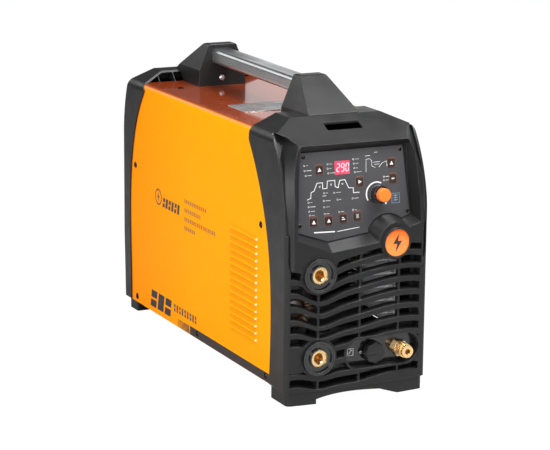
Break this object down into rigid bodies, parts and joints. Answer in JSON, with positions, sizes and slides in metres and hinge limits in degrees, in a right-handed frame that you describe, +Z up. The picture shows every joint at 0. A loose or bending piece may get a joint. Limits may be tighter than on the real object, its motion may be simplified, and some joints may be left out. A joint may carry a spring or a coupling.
{
  "type": "tig welding machine",
  "caption": "Portable TIG welding power source: folded cover with louvres, bowed front bezel with grille, control panel and weld sockets, bar handle on two brackets, fan and switch at the rear.",
  "frame": {"origin": "on the floor under the centre of the bounding box", "axes": "+Z up, the front panel faces -Y, +X to the right when looking at the front panel"},
  "size_m": [0.22, 0.62, 0.4365],
  "materials": {
    "bezel": "satin charcoal moulding with a fine grain",
    "cover_paint": "glossy orange-yellow powder coat",
    "dark_screw": "blackened steel",
    "label_aluminium": "brushed foil plate",
    "dark_paint": "satin black powder coat",
    "black_plastic": "satin black",
    "switch_plastic": "semi-gloss black",
    "bright_steel": "plated",
    "zinc": "zinc plated",
    "cable_rubber": "matte",
    "brass": "machined",
    "hose": "semi-gloss blue-black",
    "handle_aluminium": "brushed along its length",
    "overlay": "printed film",
    "circuit_board": "green solder mask",
    "display": "lit red window",
    "knob_orange": "satin orange",
    "badge_orange": "glossy orange",
    "black_rubber": "matte",
    "heat_sink_aluminium": "extruded",
    "capacitor_sleeve": "dark sleeve",
    "ferrite": "sintered grey-black",
    "winding_tape": "yellow insulating tape",
    "copper": "enamelled copper",
    "button_rubber": "satin dark key"
  },
  "bodies": {
    "chassis": {"badge_disc": "badge_orange", "base_tray": "zinc", "bus_capacitors": "capacitor_sleeve", "cable_gland": "black_plastic", "cap_cord": "black_rubber", "case_screws": "dark_screw", "choke_core": "ferrite", "choke_winding": "copper", "connector_plate": "black_plastic", "control_board": "circuit_board", "control_overlay": "overlay", "control_socket": "zinc", "display_window": "display", "fan_frame": "black_plastic", "fan_guard": "bright_steel", "front_bezel": "bezel", "front_handle_bracket": "bezel", "front_panel": "dark_paint", "gas_hose": "hose", "gas_inlet": "brass", "gas_outlet": "brass", "gas_valve": "brass", "handle_screws": "bright_steel", "handle_tube": "handle_aluminium", "heat_sinks": "heat_sink_aluminium", "lower_socket_contact": "brass", "lower_socket_housing": "black_plastic", "main_board": "circuit_board", "mains_cable": "cable_rubber", "mains_switch": "black_plastic", "output_busbars": "copper", "overlay_screws": "dark_screw", "panel_nuts": "zinc", "power_modules": "black_plastic", "rating_plate": "label_aluminium", "rear_bezel": "bezel", "rear_handle_bracket": "bezel", "rear_panel": "dark_paint", "shelf": "zinc", "top_cover": "cover_paint", "transformer_core": "ferrite", "transformer_winding": "winding_tape", "upper_socket_contact": "brass", "upper_socket_housing": "black_plastic"},
    "knob": {"knob": "black_plastic", "knob_cap": "knob_orange", "encoder_shaft": "bright_steel"},
    "fan_rotor": {"fan_rotor": "black_plastic"},
    "mains_rocker": {"mains_rocker": "switch_plastic"},
    "control_socket_cap": {"control_socket_cap": "black_rubber"},
    "gas_valve_plunger": {"gas_valve_plunger": "bright_steel"},
    "button_mode": {"button_mode": "button_rubber"},
    "button_select": {"button_select": "button_rubber"},
    "button_pulse": {"button_pulse": "button_rubber"},
    "button_memory": {"button_memory": "button_rubber"},
    "button_trigger": {"button_trigger": "button_rubber"},
    "button_process": {"button_process": "button_rubber"},
    "button_gas_test": {"button_gas_test": "button_rubber"},
    "button_remote": {"button_remote": "button_rubber"}
  },
  "joints": [
    {"name": "knob_turn", "type": "hinge", "parent": "chassis", "child": "knob", "pos_m": [0.0362, -0.28927, 0.28477], "axis": [0, -0.9951, 0.0993], "continuous": true},
    {"name": "fan_spin", "type": "hinge", "parent": "chassis", "child": "fan_rotor", "pos_m": [-0.015, 0.243, 0.122], "axis": [0, 1, 0], "continuous": true},
    {"name": "mains_rocker_tilt", "type": "hinge", "parent": "chassis", "child": "mains_rocker", "pos_m": [0.055, 0.26, 0.3], "axis": [1, 0, 0], "range_deg": [-10, 10]},
    {"name": "socket_cap_pull", "type": "slide", "parent": "chassis", "child": "control_socket_cap", "axis": [0, -1, 0], "range_m": [0, 0.016]},
    {"name": "gas_valve_lift", "type": "slide", "parent": "chassis", "child": "gas_valve_plunger", "axis": [0, 0, 1], "range_m": [0, 0.003], "stiffness_N_per_m": 400, "springref_m": -0.002},
    {"name": "button_mode_press", "type": "slide", "parent": "chassis", "child": "button_mode", "axis": [0, 0.9951, -0.0993], "range_m": [0, 0.0006], "stiffness_N_per_m": 800, "springref_m": -0.0004},
    {"name": "button_select_press", "type": "slide", "parent": "chassis", "child": "button_select", "axis": [0, 0.9951, -0.0993], "range_m": [0, 0.0006], "stiffness_N_per_m": 800, "springref_m": -0.0004},
    {"name": "button_pulse_press", "type": "slide", "parent": "chassis", "child": "button_pulse", "axis": [0, 0.9951, -0.0993], "range_m": [0, 0.0006], "stiffness_N_per_m": 800, "springref_m": -0.0004},
    {"name": "button_memory_press", "type": "slide", "parent": "chassis", "child": "button_memory", "axis": [0, 0.9951, -0.0993], "range_m": [0, 0.0006], "stiffness_N_per_m": 800, "springref_m": -0.0004},
    {"name": "button_trigger_press", "type": "slide", "parent": "chassis", "child": "button_trigger", "axis": [0, 0.9951, -0.0993], "range_m": [0, 0.0006], "stiffness_N_per_m": 800, "springref_m": -0.0004},
    {"name": "button_process_press", "type": "slide", "parent": "chassis", "child": "button_process", "axis": [0, 0.9951, -0.0993], "range_m": [0, 0.0006], "stiffness_N_per_m": 800, "springref_m": -0.0004},
    {"name": "button_gas_test_press", "type": "slide", "parent": "chassis", "child": "button_gas_test", "axis": [0, 0.9951, -0.0993], "range_m": [0, 0.0006], "stiffness_N_per_m": 800, "springref_m": -0.0004},
    {"name": "button_remote_press", "type": "slide", "parent": "chassis", "child": "button_remote", "axis": [0, 0.9951, -0.0993], "range_m": [0, 0.0006], "stiffness_N_per_m": 800, "springref_m": -0.0004}
  ]
}
